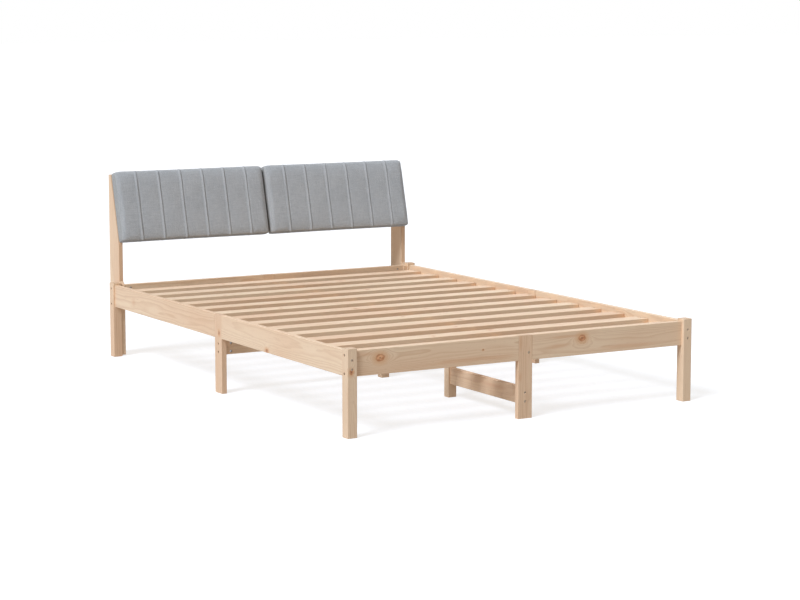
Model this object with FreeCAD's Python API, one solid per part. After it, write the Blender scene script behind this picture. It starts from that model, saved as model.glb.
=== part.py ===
import FreeCAD, Part
import math
import os

from FreeCAD import Vector

os.makedirs("parts", exist_ok=True)

# Overall size of the pine frame, measured over the corner legs
frame_width = 1460.0
frame_length = 2070.0
board = 21.0
arris = 1.5
overrun = 2.0
bore_clearance = 0.15
soft_clearance = 0.3

# Corner legs, square blocks that stand a little proud of the rails
leg_width = 38.0
leg_depth = 40.0
leg_height = 310.0
leg_arris = 3.0

# Rails between the legs
rail_height = 90.0
rail_below_leg_top = 9.0
side_rail_recess = 8.0
foot_rail_recess = 13.0

# Board legs let in between two rail halves, flush with them
board_leg_width = 59.0

# Legs, beam and boards under the slats
centre_leg_width = 35.0
centre_leg_depth = 32.0
tongue_below_slats = 2.0
seat_rise = 56.0
beam_off_centre = 15.5
stretcher_height = 62.0
stretcher_above_floor = 51.0
cross_board_below_rail = 2.0

# Cleats behind the rail joints and ledgers that carry the slats
cleat_length = 260.0
ledger_width = 24.0
ledger_height = 30.0
ledger_inset = 36.0

# Slats
slat_count = 13
slat_width = 68.0
slat_thickness = 17.0
slat_end_gap = 3.0

# Bolts, barrel nuts and dowels of the knock-down joints
bolt_radius = 3.0
bolt_head_radius = 5.0
bolt_head_height = 6.0
bolt_head_sunk = 1.5
bolt_past_nut = 4.0
socket_across = 5.0
socket_depth = 3.0
nut_radius = 5.0
nut_length = 13.0
nut_from_end = 28.0
dowel_radius = 4.0
dowel_half = 14.0
low_bolt_rise = 11.0
bolt_pitch = 32.0
dowel_rise = 43.0

# Wood screws
screw_radius = 2.0
screw_head_radius = 4.0
screw_head_height = 2.4
slat_screw_length = 40.0
cleat_screw_length = 36.0
ledger_screw_length = 38.0
post_screw_length = 42.0
cushion_screw_length = 30.0
tongue_screw_length = 38.0
plate_screw_length = 18.0

# Steel plate over the beam joint and angle brackets on the centre legs
plate_length = 120.0
plate_height = 30.0
plate_thickness = 2.0
bracket_leg = 28.0
bracket_width = 16.0
bracket_screw_share = 0.6
plate_screw_shares = (-0.4, -0.18, 0.18, 0.4)

# Headboard posts, boards sawn to a tapered outline
post_thickness = 18.0
post_foot_setback = 6.0
post_setback = 23.0
post_top_depth = 24.0
post_step_rise = 4.0
post_above_floor = 5.0
post_height = 755.0
lean_start = 470.0
lean_angle = 14.5

# Rails between the posts and the two cushions that lean on them
headboard_rail_height = 70.0
lower_rail_along = 25.0
upper_rail_along = 205.0
cushion_along = 3.0
cushion_height = 300.0
cushion_thickness = 46.0
cushion_gap = 8.0
channel_crown = 2.5
tuck_width = 10.0
tuck_top_width = 4.0
tuck_height = 3.5
end_rounding = 12.0
side_crown = 3.5
cushion_board = 12.0
cushion_board_inset = 22.0
cushion_screw_spread = 420.0

# Sections of a cushion from its bottom to its top. Each has its place as a share of the
# height, and its thickness, its crown and how far its ends draw in as shares of the full ones
section_height_shares = (0.0, 0.02, 0.055, 0.12, 0.3, 0.5, 0.7, 0.88, 0.945, 0.98, 1.0)
section_depth_shares = (0.60, 0.80, 0.92, 0.98, 1.0, 1.0, 1.0, 0.98, 0.92, 0.80, 0.60)
section_crown_shares = (0.25, 0.55, 0.80, 0.95, 1.0, 1.0, 1.0, 0.95, 0.80, 0.55, 0.25)
section_inset_shares = (1.0, 0.45, 0.15, 0.05, 0.25, 0.35, 0.25, 0.05, 0.15, 0.45, 1.0)
end_draw_in = 7.0

# Places of the tucks between the channels, as shares of a cushion's width. The last channel of
# each cushion, on the right, is narrower than the others
tuck_shares = (0.139, 0.286, 0.434, 0.581, 0.728, 0.876)

# Places worked out from the sizes above
lean = math.radians(lean_angle)
post_lean_back = (post_height - lean_start) * math.tan(lean)
post_overhang = post_setback + post_lean_back + post_top_depth - leg_depth
half_width = frame_width / 2
overall_length = frame_length + post_overhang
foot_front = -overall_length / 2
head_rear = foot_front + frame_length
head_front = head_rear - leg_depth
post_rear = head_rear + post_overhang
mid_y = (foot_front + head_rear) / 2

rail_top = leg_height - rail_below_leg_top
rail_bottom = rail_top - rail_height
slat_seat = rail_bottom + seat_rise

side_rail_outer = -half_width + side_rail_recess
side_rail_inner = side_rail_outer + board
side_rail_mid = side_rail_outer + board / 2
foot_rail_front = foot_front + foot_rail_recess
foot_rail_rear = foot_rail_front + board
head_rail_front = head_front + (leg_depth - board) / 2
head_rail_rear = head_rail_front + board

beam_left = beam_off_centre - board / 2
beam_right = beam_off_centre + board / 2
cleat_depth_foot = foot_rail_rear + board
cleat_depth_head = head_rail_front - board
cross_board_top = rail_bottom - cross_board_below_rail
cross_board_bottom = cross_board_top - stretcher_height

middle_leg_front = mid_y - centre_leg_depth / 2
middle_leg_rear = mid_y + centre_leg_depth / 2
foot_leg_mid = (foot_rail_rear + middle_leg_front) / 2
head_leg_mid = (head_rail_front + middle_leg_rear) / 2

post_outer = -half_width + leg_width
post_inner = post_outer + post_thickness

AXIS_X = Vector(1, 0, 0)
AXIS_Y = Vector(0, 1, 0)
AXIS_Z = Vector(0, 0, 1)
ORIGIN = Vector(0, 0, 0)


# Basic solids

def block(x0, x1, y0, y1, z0, z1):
    return Part.makeBox(x1 - x0, y1 - y0, z1 - z0, Vector(x0, y0, z0))


def eased(shape, axis, radius):
    """Round the straight edges that run along one axis."""
    edges = []
    for edge in shape.Edges:
        run = edge.Vertexes[-1].Point - edge.Vertexes[0].Point
        if run.Length > 0 and abs(run.normalize().dot(axis)) > math.cos(math.radians(1)):
            edges.append(edge)
    return shape.makeFillet(radius, edges)


def timber(x0, x1, y0, y1, z0, z1, axis, radius=arris):
    """A planed board or leg with its long edges rounded."""
    return eased(block(x0, x1, y0, y1, z0, z1), axis, radius)


def rod(start, axis, radius, length):
    return Part.makeCylinder(radius, length, start, axis)


def bore(start, axis, radius, length):
    """A drilled hole, a little wider than what goes in, that starts outside the wood."""
    return rod(start - axis * overrun, axis, radius + bore_clearance, length + overrun)


def mirrored(shape):
    return shape.mirror(ORIGIN, AXIS_X)


def cut_all(shape, tools):
    return shape.cut(Part.makeCompound(tools))


# Fasteners. Each maker gives the solid, and each hole maker what it takes out of the wood

def bolt(face, axis, length):
    """Cap bolt whose head sits below the face at which it goes in."""
    head_start = face + axis * bolt_head_sunk
    head = rod(head_start, axis, bolt_head_radius, bolt_head_height)
    shank = rod(head_start + axis * bolt_head_height, axis, bolt_radius, length)
    body = head.fuse(shank)
    side = Vector(-axis.y, axis.x, 0)
    corners = []
    for step in range(7):
        turn = math.radians(60 * step)
        out = side * math.cos(turn) + AXIS_Z * math.sin(turn)
        corners.append(head_start + out * (socket_across / math.sqrt(3)))
    socket = Part.Face(Part.makePolygon(corners)).extrude(axis * socket_depth)
    return body.cut(socket).removeSplitter()


def bolt_hole(face, axis, length):
    seat = bolt_head_sunk + bolt_head_height
    return bore(face, axis, bolt_head_radius, seat).fuse(bore(face, axis, bolt_radius, seat + length))


def bolt_run(wood_before):
    """Shank length from under the head, through the wood, to just past the barrel nut."""
    seat = bolt_head_sunk + bolt_head_height
    return wood_before - seat + nut_from_end + nut_radius + bolt_past_nut


def barrel_nut(centre, axis, cross):
    """Round nut lying across the bolt, with its threaded hole."""
    start = centre - axis * (nut_length / 2)
    body = rod(start, axis, nut_radius, nut_length)
    return body.cut(bore(centre - cross * nut_radius, cross, bolt_radius, nut_radius * 2 + overrun))


def nut_hole(centre, axis, face_distance):
    """Blind hole from one face of the board to the far end of the nut."""
    start = centre + axis * face_distance
    return bore(start, axis * -1, nut_radius, face_distance + nut_length / 2)


def dowel(joint, axis, before=dowel_half, after=dowel_half):
    return rod(joint - axis * before, axis, dowel_radius, before + after)


def dowel_hole(joint, axis, before=dowel_half, after=dowel_half):
    hole_length = before + after + bore_clearance * 2
    return rod(joint - axis * (before + bore_clearance), axis, dowel_radius + bore_clearance, hole_length)


def screw(face, axis, length):
    """Countersunk screw with its head flush in the face."""
    head = Part.makeCone(screw_head_radius, screw_radius, screw_head_height, face, axis)
    point = length - screw_head_radius
    shank = rod(face, axis, screw_radius, point)
    tip = Part.makeCone(screw_radius, screw_radius / 4, screw_head_radius, face + axis * point, axis)
    return head.fuse([shank, tip]).removeSplitter()


def screw_hole(face, axis, length):
    wide = screw_head_radius + bore_clearance
    narrow = screw_radius + bore_clearance
    sink = Part.makeCone(wide, narrow, screw_head_height, face, axis)
    return sink.fuse(bore(face, axis, screw_radius, length + bore_clearance))


bolts = []
nuts = []
dowels = []
slat_screws = []
ledger_screws = []
cleat_screws = []
small_screws = []
cushion_screws = []

# Rows of joints, kept as the holes that each one drills through the wood it joins

rail_low_bolt = rail_bottom + low_bolt_rise
foot_rail_mid = foot_rail_front + board / 2
head_rail_mid = head_rail_front + board / 2


def corner_cross_joint(rail_mid_y, rail_end_x):
    """Two bolts and a dowel from the outer face of a left corner leg into a foot or head rail."""
    holes = []
    for level in (rail_low_bolt, rail_low_bolt + bolt_pitch * 2):
        face = Vector(-half_width, rail_mid_y, level)
        length = bolt_run(rail_end_x + half_width)
        bolts.append(bolt(face, AXIS_X, length))
        holes.append(bolt_hole(face, AXIS_X, length))
        nut_at = Vector(rail_end_x + nut_from_end, rail_mid_y, level)
        inward = AXIS_Y if rail_mid_y < mid_y else AXIS_Y * -1
        nuts.append(barrel_nut(nut_at, AXIS_Y, AXIS_X))
        holes.append(nut_hole(nut_at, inward, board / 2))
    joint = Vector(-half_width + leg_width, rail_mid_y, rail_bottom + dowel_rise)
    beyond = rail_end_x - joint.x + dowel_half
    dowels.append(dowel(joint, AXIS_X, dowel_half - arris, beyond))
    holes.append(dowel_hole(joint, AXIS_X, dowel_half - arris, beyond))
    return holes


def corner_side_joint(leg_face_y, rail_end_y, axis):
    """Two bolts and a dowel through a left corner leg into the end of a side rail."""
    holes = []
    low = rail_low_bolt + bolt_pitch / 2
    for level in (low, low + bolt_pitch):
        face = Vector(side_rail_mid, leg_face_y, level)
        length = bolt_run(leg_depth)
        bolts.append(bolt(face, axis, length))
        holes.append(bolt_hole(face, axis, length))
        nut_at = Vector(side_rail_mid, rail_end_y, level) + axis * nut_from_end
        nuts.append(barrel_nut(nut_at, AXIS_X, AXIS_Y))
        holes.append(nut_hole(nut_at, AXIS_X, board / 2))
    joint = Vector(side_rail_mid, rail_end_y, rail_bottom + dowel_rise)
    dowels.append(dowel(joint, AXIS_Y))
    holes.append(dowel_hole(joint, AXIS_Y))
    return holes


foot_cross_holes = corner_cross_joint(foot_rail_mid, post_outer)
head_cross_holes = corner_cross_joint(head_rail_mid, post_inner)
foot_side_holes = corner_side_joint(foot_front, foot_front + leg_depth, AXIS_Y)
head_side_holes = corner_side_joint(head_rear, head_front, AXIS_Y * -1)


def stretcher_joint(face_y, end_y, axis):
    """Two bolts through a board leg into the end of the low stretcher."""
    holes = []
    low = stretcher_above_floor + low_bolt_rise
    for level in (low, low + bolt_pitch):
        face = Vector(0, face_y, level)
        length = bolt_run(board)
        bolts.append(bolt(face, axis, length))
        holes.append(bolt_hole(face, axis, length))
        nut_at = Vector(0, end_y, level) + axis * nut_from_end
        nuts.append(barrel_nut(nut_at, AXIS_X, AXIS_Y))
        holes.append(nut_hole(nut_at, AXIS_X, board / 2))
    return holes


def beam_joint(face_y, axis):
    """One bolt through the board leg and the cleat into the end of the centre beam."""
    face = Vector(beam_off_centre, face_y, rail_low_bolt + bolt_pitch / 2)
    length = bolt_run(board * 2)
    bolts.append(bolt(face, axis, length))
    nut_at = face + axis * (board * 2 + nut_from_end)
    nuts.append(barrel_nut(nut_at, AXIS_X, AXIS_Y))
    return [bolt_hole(face, axis, length), nut_hole(nut_at, AXIS_X, board / 2)]


foot_stretcher_holes = stretcher_joint(foot_rail_front, foot_rail_rear, AXIS_Y)
head_stretcher_holes = stretcher_joint(head_rail_rear, head_rail_front, AXIS_Y * -1)
foot_beam_holes = beam_joint(foot_rail_front, AXIS_Y)
head_beam_holes = beam_joint(head_rail_rear, AXIS_Y * -1)


def cross_board_joint():
    """Two bolts from the outer face of the left side leg, two dowels into the middle leg."""
    holes = []
    low = cross_board_bottom + low_bolt_rise
    for level in (low, low + bolt_pitch):
        face = Vector(side_rail_outer, mid_y, level)
        length = bolt_run(board)
        bolts.append(bolt(face, AXIS_X, length))
        holes.append(bolt_hole(face, AXIS_X, length))
        nut_at = Vector(side_rail_inner + nut_from_end, mid_y, level)
        nuts.append(barrel_nut(nut_at, AXIS_Y, AXIS_X))
        holes.append(nut_hole(nut_at, AXIS_Y * -1, board / 2))
        joint = Vector(-centre_leg_width / 2, mid_y, level)
        dowels.append(dowel(joint, AXIS_X))
        holes.append(dowel_hole(joint, AXIS_X))
    return holes


cross_board_holes = cross_board_joint()


# Corner legs. The left ones are drilled, and the right ones are their mirror images

def corner_leg(front, holes):
    x0 = -half_width
    leg = timber(x0, x0 + leg_width, front, front + leg_depth, 0, leg_height, AXIS_Z, leg_arris)
    top_edges = []
    for edge in leg.Edges:
        if edge.BoundBox.ZMin > leg_height - arris and edge.Length > leg_arris * 2:
            top_edges.append(edge)
    leg = leg.makeChamfer(arris / 2, top_edges)
    return cut_all(leg, holes)


# The post stands against the inner face of the head leg and is screwed to it as well
post_screw_holes = []
for level in (post_above_floor + rail_height / 2, rail_bottom - rail_height / 2):
    face = Vector(post_inner, head_rail_mid, level)
    small_screws.append(screw(face, AXIS_X * -1, post_screw_length))
    post_screw_holes.append(screw_hole(face, AXIS_X * -1, post_screw_length))

leg_foot_left = corner_leg(foot_front, foot_cross_holes + foot_side_holes)
leg_head_left = corner_leg(head_front, head_cross_holes + head_side_holes + post_screw_holes)


# Screw places on a cleat, measured from its middle. The beam's bolt takes the place of one
cleat_half = cleat_length / 2
rail_screw_near = board_leg_width
rail_screw_far = cleat_half - ledger_width
leg_screw_off = board_leg_width / 4
cleat_level = (rail_bottom + slat_seat) / 2
plain_cleat_places = (-rail_screw_far, -rail_screw_near, -leg_screw_off,
                      leg_screw_off, rail_screw_near, rail_screw_far)
beam_cleat_places = (-rail_screw_far, -rail_screw_near, -leg_screw_off,
                     rail_screw_near, rail_screw_far)


def end_cleat(y0, y1, axis, joint_holes):
    """Cleat behind the two halves of a foot or head rail. Its screws point at the rail."""
    body = timber(-cleat_half, cleat_half, y0, y1, rail_bottom, slat_seat, AXIS_X)
    face_y = y1 if axis.y < 0 else y0
    holes = []
    for place in beam_cleat_places:
        face = Vector(place, face_y, cleat_level)
        cleat_screws.append(screw(face, axis, cleat_screw_length))
        holes.append(screw_hole(face, axis, cleat_screw_length))
    return cut_all(body, holes + joint_holes), holes


foot_cleat, foot_cleat_holes = end_cleat(foot_rail_rear, cleat_depth_foot, AXIS_Y * -1, foot_beam_holes)
head_cleat, head_cleat_holes = end_cleat(cleat_depth_head, head_rail_front, AXIS_Y, head_beam_holes)

side_cleat_holes = []
for place in plain_cleat_places:
    face = Vector(side_rail_inner + board, mid_y + place, cleat_level)
    cleat_screws.append(screw(face, AXIS_X * -1, cleat_screw_length))
    cleat_screws.append(mirrored(screw(face, AXIS_X * -1, cleat_screw_length)))
    side_cleat_holes.append(screw_hole(face, AXIS_X * -1, cleat_screw_length))


# Rails. Every side has two halves that meet a board leg in the middle
leg_side = board_leg_width / 2

foot_rail_left = cut_all(
    timber(post_outer, -leg_side, foot_rail_front, foot_rail_rear, rail_bottom, rail_top, AXIS_X),
    foot_cross_holes + foot_cleat_holes)
head_rail_left = cut_all(
    timber(post_inner, -leg_side, head_rail_front, head_rail_rear, rail_bottom, rail_top, AXIS_X),
    head_cross_holes + head_cleat_holes)
foot_rail_right = mirrored(foot_rail_left)
head_rail_right = mirrored(head_rail_left)

# Ledgers run along the side rails from near a corner leg to the cleat
ledger_mid = side_rail_inner + ledger_width / 2
ledger_inner = side_rail_inner + ledger_width
ledger_bottom = slat_seat - ledger_height
ledger_level = (ledger_bottom + slat_seat) / 2
foot_ledger_start = foot_front + leg_depth + ledger_inset
foot_ledger_end = mid_y - cleat_half
head_ledger_start = mid_y + cleat_half
head_ledger_end = head_front - ledger_inset
ledger_screw_shares = (0.05, 0.345, 0.655, 0.95)


def ledger_with_screws(start, end):
    body = timber(side_rail_inner, ledger_inner, start, end, ledger_bottom, slat_seat, AXIS_Y)
    holes = []
    for share in ledger_screw_shares:
        face = Vector(ledger_inner, start + (end - start) * share, ledger_level)
        ledger_screws.append(screw(face, AXIS_X * -1, ledger_screw_length))
        holes.append(screw_hole(face, AXIS_X * -1, ledger_screw_length))
    return body, holes


foot_ledger, foot_ledger_holes = ledger_with_screws(foot_ledger_start, foot_ledger_end)
head_ledger, head_ledger_holes = ledger_with_screws(head_ledger_start, head_ledger_end)

side_rail_foot_left = cut_all(
    timber(side_rail_outer, side_rail_inner, foot_front + leg_depth, mid_y - leg_side,
           rail_bottom, rail_top, AXIS_Y),
    foot_side_holes + foot_ledger_holes + side_cleat_holes)
side_rail_head_left = cut_all(
    timber(side_rail_outer, side_rail_inner, mid_y + leg_side, head_front,
           rail_bottom, rail_top, AXIS_Y),
    head_side_holes + head_ledger_holes + side_cleat_holes)

# Board legs in the middle of each side
side_leg_left = cut_all(
    timber(side_rail_outer, side_rail_inner, mid_y - leg_side, mid_y + leg_side, 0, rail_top, AXIS_Z),
    cross_board_holes + side_cleat_holes)
foot_centre_leg = cut_all(
    timber(-leg_side, leg_side, foot_rail_front, foot_rail_rear, 0, rail_top, AXIS_Z),
    foot_stretcher_holes + foot_beam_holes + foot_cleat_holes)
head_centre_leg = cut_all(
    timber(-leg_side, leg_side, head_rail_front, head_rail_rear, 0, rail_top, AXIS_Z),
    head_stretcher_holes + head_beam_holes + head_cleat_holes)

# Slats lie on the ledgers, the side cleats and the centre beam
slat_pitch = (head_rail_front - foot_rail_rear) / slat_count
slat_end = side_rail_inner + slat_end_gap
slat_top = slat_seat + slat_thickness
slats = []
slat_holes = []
for index in range(slat_count):
    middle = foot_rail_rear + slat_pitch * (index + 0.5)
    slat = timber(slat_end, -slat_end, middle - slat_width / 2, middle + slat_width / 2,
                  slat_seat, slat_top, AXIS_X)
    own_holes = []
    for side in (ledger_mid, -ledger_mid):
        face = Vector(side, middle, slat_top)
        slat_screws.append(screw(face, AXIS_Z * -1, slat_screw_length))
        own_holes.append(screw_hole(face, AXIS_Z * -1, slat_screw_length))
    slats.append(cut_all(slat, own_holes))
    slat_holes.extend(own_holes)

foot_ledger = cut_all(foot_ledger, foot_ledger_holes + slat_holes)
head_ledger = cut_all(head_ledger, head_ledger_holes + slat_holes)
side_cleat = cut_all(
    timber(side_rail_inner, side_rail_inner + board, mid_y - cleat_half, mid_y + cleat_half,
           rail_bottom, slat_seat, AXIS_Y),
    side_cleat_holes + slat_holes)


# Centre legs stand under the beam. A notch leaves a shoulder for it and a tongue beside it
tongue_top = slat_seat - tongue_below_slats
tongue_screw_low = rail_bottom + seat_rise / 4
tongue_screw_high = slat_seat - seat_rise / 4


def centre_leg(middle, screw_places, other_holes):
    x0 = -centre_leg_width / 2
    y0 = middle - centre_leg_depth / 2
    body = timber(x0, -x0, y0, y0 + centre_leg_depth, 0, tongue_top, AXIS_Z)
    notch = block(beam_left, -x0 + overrun, y0 - overrun, y0 + centre_leg_depth + overrun,
                  rail_bottom, tongue_top + overrun)
    holes = []
    for place, level in screw_places:
        face = Vector(x0, place, level)
        small_screws.append(screw(face, AXIS_X, tongue_screw_length))
        holes.append(screw_hole(face, AXIS_X, tongue_screw_length))
    return cut_all(body.cut(notch), holes + other_holes), holes


def across(middle):
    return ((middle - centre_leg_depth / 4, tongue_screw_low),
            (middle + centre_leg_depth / 4, tongue_screw_high))


# Angle brackets join the boards to the sides of the centre legs
def angle_bracket(corner, wall, board_way):
    """Two flat legs that meet at a corner, one on the leg's face, one on the board's face."""
    up = AXIS_Z * bracket_width
    outline = Part.makePolygon([corner,
                                corner + wall * bracket_leg,
                                corner + wall * bracket_leg + board_way * plate_thickness,
                                corner + (wall + board_way) * plate_thickness,
                                corner + wall * plate_thickness + board_way * bracket_leg,
                                corner + board_way * bracket_leg,
                                corner])
    body = Part.Face(outline).extrude(up)
    screw_place = bracket_leg * bracket_screw_share
    wall_face = corner + wall * screw_place + board_way * plate_thickness + up * 0.5
    board_face = corner + board_way * screw_place + wall * plate_thickness + up * 0.5
    return body, (wall_face, board_way * -1), (board_face, wall * -1)


brackets = []
bracket_holes = []
bracket_level = stretcher_above_floor + (stretcher_height - bracket_width) / 2
cross_bracket_level = cross_board_bottom + (stretcher_height - bracket_width) / 2
foot_leg_front = foot_leg_mid - centre_leg_depth / 2
head_leg_rear = head_leg_mid + centre_leg_depth / 2
half_board = board / 2
bracket_places = (
    (Vector(half_board, foot_leg_front, bracket_level), AXIS_X, AXIS_Y * -1),
    (Vector(half_board, head_leg_rear, bracket_level), AXIS_X, AXIS_Y),
    (Vector(centre_leg_width / 2, mid_y + half_board, cross_bracket_level), AXIS_Y, AXIS_X),
    (Vector(-centre_leg_width / 2, mid_y + half_board, cross_bracket_level), AXIS_Y, AXIS_X * -1),
)
for corner, wall, board_way in bracket_places:
    body, wall_screw, board_screw = angle_bracket(corner, wall, board_way)
    holes = []
    for face, axis in (wall_screw, board_screw):
        small_screws.append(screw(face, axis, plate_screw_length))
        holes.append(screw_hole(face, axis, plate_screw_length))
    brackets.append(cut_all(body, holes))
    bracket_holes.extend(holes)

middle_places = ((mid_y - centre_leg_depth / 4, tongue_screw_low),
                 (mid_y - centre_leg_depth / 4, tongue_screw_high),
                 (mid_y + centre_leg_depth / 4, tongue_screw_low),
                 (mid_y + centre_leg_depth / 4, tongue_screw_high))
cross_dowel_holes = cross_board_holes + [mirrored(hole) for hole in cross_board_holes]
centre_leg_foot, foot_tongue_holes = centre_leg(foot_leg_mid, across(foot_leg_mid), bracket_holes)
centre_leg_head, head_tongue_holes = centre_leg(head_leg_mid, across(head_leg_mid), bracket_holes)
centre_leg_middle, middle_tongue_holes = centre_leg(
    mid_y, middle_places, bracket_holes + cross_dowel_holes)
tongue_holes = foot_tongue_holes + head_tongue_holes + middle_tongue_holes

# Centre beam in two halves with a steel plate over the joint
plate = block(beam_right, beam_right + plate_thickness, mid_y - plate_length / 2,
              mid_y + plate_length / 2, cleat_level - plate_height / 2, cleat_level + plate_height / 2)
plate_holes = []
for share in plate_screw_shares:
    face = Vector(beam_right + plate_thickness, mid_y + plate_length * share, cleat_level)
    small_screws.append(screw(face, AXIS_X * -1, plate_screw_length))
    plate_holes.append(screw_hole(face, AXIS_X * -1, plate_screw_length))
beam_plate = cut_all(plate, plate_holes)
centre_beam_foot = cut_all(
    timber(beam_left, beam_right, cleat_depth_foot, mid_y, rail_bottom, slat_seat, AXIS_Y),
    foot_beam_holes + tongue_holes + plate_holes)
centre_beam_head = cut_all(
    timber(beam_left, beam_right, mid_y, cleat_depth_head, rail_bottom, slat_seat, AXIS_Y),
    head_beam_holes + tongue_holes + plate_holes)

# Low stretchers along the centre line and cross boards at mid length
stretcher_top = stretcher_above_floor + stretcher_height
foot_stretcher = cut_all(
    timber(-half_board, half_board, foot_rail_rear, foot_leg_front,
           stretcher_above_floor, stretcher_top, AXIS_Y),
    foot_stretcher_holes + bracket_holes)
head_stretcher = cut_all(
    timber(-half_board, half_board, head_leg_rear, head_rail_front,
           stretcher_above_floor, stretcher_top, AXIS_Y),
    head_stretcher_holes + bracket_holes)
cross_board_blank = timber(side_rail_inner, -centre_leg_width / 2, mid_y - half_board, mid_y + half_board,
                           cross_board_bottom, cross_board_top, AXIS_X)
cross_board_left = cut_all(cross_board_blank, cross_board_holes + bracket_holes)
cross_board_right = cut_all(mirrored(cross_board_blank), cross_dowel_holes + bracket_holes)


# Headboard. Its plane leans back, so what lies on it is made upright and then tilted
post_front = head_front + post_setback
hinge = Vector(0, post_front, lean_start)


def leaned(shape):
    turned = shape.copy()
    turned.rotate(ORIGIN, AXIS_X, -lean_angle)
    turned.translate(hinge)
    return turned


def leaned_point(x, depth, along):
    y = depth * math.cos(lean) + along * math.sin(lean)
    z = along * math.cos(lean) - depth * math.sin(lean)
    return hinge + Vector(x, y, z)


def post_outline():
    step_level = leg_height + post_step_rise
    foot_of_post = head_front + post_foot_setback
    points = [
        Vector(post_outer, foot_of_post, post_above_floor),
        Vector(post_outer, foot_of_post, step_level - post_setback + post_foot_setback),
        Vector(post_outer, post_front, step_level),
        Vector(post_outer, post_front, lean_start),
        Vector(post_outer, post_front + post_lean_back, post_height),
        Vector(post_outer, post_rear, post_height),
        Vector(post_outer, post_rear, post_above_floor),
    ]
    return Part.Face(Part.makePolygon(points + points[:1]))


rail_dowel_holes = []
rail_dowels = []
cushion_screw_holes = []
lean_depth = AXIS_Y * math.cos(lean) - AXIS_Z * math.sin(lean)
cushion_width = -post_outer - cushion_gap / 2
cushion_mid = post_outer + cushion_width / 2
headboard_rails = []
for start in (lower_rail_along, upper_rail_along):
    rail = timber(post_inner, -post_inner, 0, board, start, start + headboard_rail_height, AXIS_X)
    for share in (0.25, 0.75):
        joint = leaned_point(post_inner, half_board, start + headboard_rail_height * share)
        pin = dowel(joint, AXIS_X)
        hole = dowel_hole(joint, AXIS_X)
        rail_dowels.extend([pin, mirrored(pin)])
        rail_dowel_holes.extend([hole, mirrored(hole)])
    for cushion_centre in (cushion_mid, -cushion_mid):
        for off in (-cushion_screw_spread / 2, cushion_screw_spread / 2):
            face = leaned_point(cushion_centre + off, board, start + headboard_rail_height / 2)
            cushion_screws.append(screw(face, lean_depth * -1, cushion_screw_length))
            cushion_screw_holes.append(screw_hole(face, lean_depth * -1, cushion_screw_length))
    headboard_rails.append(leaned(rail))
headboard_rails = [cut_all(rail, rail_dowel_holes + cushion_screw_holes) for rail in headboard_rails]

post_blank = post_outline().extrude(AXIS_X * post_thickness)
headboard_post_left = cut_all(
    eased(post_blank, AXIS_Z, arris),
    head_cross_holes + post_screw_holes + rail_dowel_holes)


# Cushions. Each section across a cushion has a shallow arc for every channel, and between two
# channels the raised tuck that is sewn there, with sloping sides and a narrow flat top
seam_depth = cushion_thickness - tuck_height
corner_bulge = end_rounding * (math.sqrt(0.5) - 0.5)


def arc(start, end, bulge):
    middle = (start + end) * 0.5 + bulge
    return Part.Arc(start, middle, end).toShape()


def cushion_section(height_share, depth_share, crown_share, inset_share):
    along = cushion_along + cushion_height * height_share
    inset = end_draw_in * inset_share + side_crown
    left = post_outer + inset
    right = post_outer + cushion_width - inset
    rear = -soft_clearance
    seam = -seam_depth * depth_share
    tuck_top = seam - tuck_height * crown_share
    channel_bulge = AXIS_Y * (-channel_crown * crown_share)
    rear_left = Vector(left, rear, along)
    rear_right = Vector(right, rear, along)
    side_left = Vector(left, seam + end_rounding, along)
    side_right = Vector(right, seam + end_rounding, along)
    front_right = Vector(right - end_rounding, seam, along)
    start = Vector(left + end_rounding, seam, along)
    edges = [arc(rear_left, side_left, AXIS_X * -side_crown)]
    edges.append(arc(side_left, start, (AXIS_X + AXIS_Y) * -corner_bulge))
    for share in tuck_shares:
        tuck_x = left + (right - left) * share
        tuck = [Vector(tuck_x - tuck_width / 2, seam, along),
                Vector(tuck_x - tuck_top_width / 2, tuck_top, along),
                Vector(tuck_x + tuck_top_width / 2, tuck_top, along),
                Vector(tuck_x + tuck_width / 2, seam, along)]
        edges.append(arc(start, tuck[0], channel_bulge))
        edges.extend(Part.makeLine(near, far) for near, far in zip(tuck, tuck[1:]))
        start = tuck[-1]
    edges.append(arc(start, front_right, channel_bulge))
    edges.append(arc(front_right, side_right, (AXIS_X - AXIS_Y) * corner_bulge))
    edges.append(arc(side_right, rear_right, AXIS_X * side_crown))
    edges.append(Part.makeLine(rear_right, rear_left))
    return Part.Wire(edges)


sections = []
for shares in zip(section_height_shares, section_depth_shares,
                  section_crown_shares, section_inset_shares):
    sections.append(cushion_section(*shares))
cushion_body = Part.makeLoft(sections, True, True)
board_left = post_outer + cushion_board_inset
board_right = post_outer + cushion_width - cushion_board_inset
board_low = cushion_along + cushion_board_inset
board_high = cushion_along + cushion_height - cushion_board_inset
pocket = block(board_left - soft_clearance, board_right + soft_clearance,
               -cushion_board - soft_clearance, overrun,
               board_low - soft_clearance, board_high + soft_clearance)
cushion_left = leaned(cushion_body.cut(pocket))
cushion_right = cushion_left.translated(AXIS_X * (cushion_width + cushion_gap))
cushion_board_blank = leaned(block(board_left, board_right, -cushion_board, 0, board_low, board_high))
cushion_board_left = cut_all(cushion_board_blank, cushion_screw_holes)
cushion_board_right = cut_all(mirrored(cushion_board_blank), cushion_screw_holes)


# Writing the parts. Bolts, nuts and the like that repeat are one group each

def save(name, shape):
    for solid in shape.Solids:
        if not solid.isValid():
            print("not valid:", name)
    shape.exportStep("parts/" + name + ".step")


def save_group(name, solids):
    save(name, Part.makeCompound(solids))


def with_mirror_images(solids):
    """Both sides of the bed. A solid on the centre line has no image."""
    both = []
    for solid in solids:
        both.append(solid)
        if solid.BoundBox.XMax < -centre_leg_width / 4:
            both.append(mirrored(solid))
    return both


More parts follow.
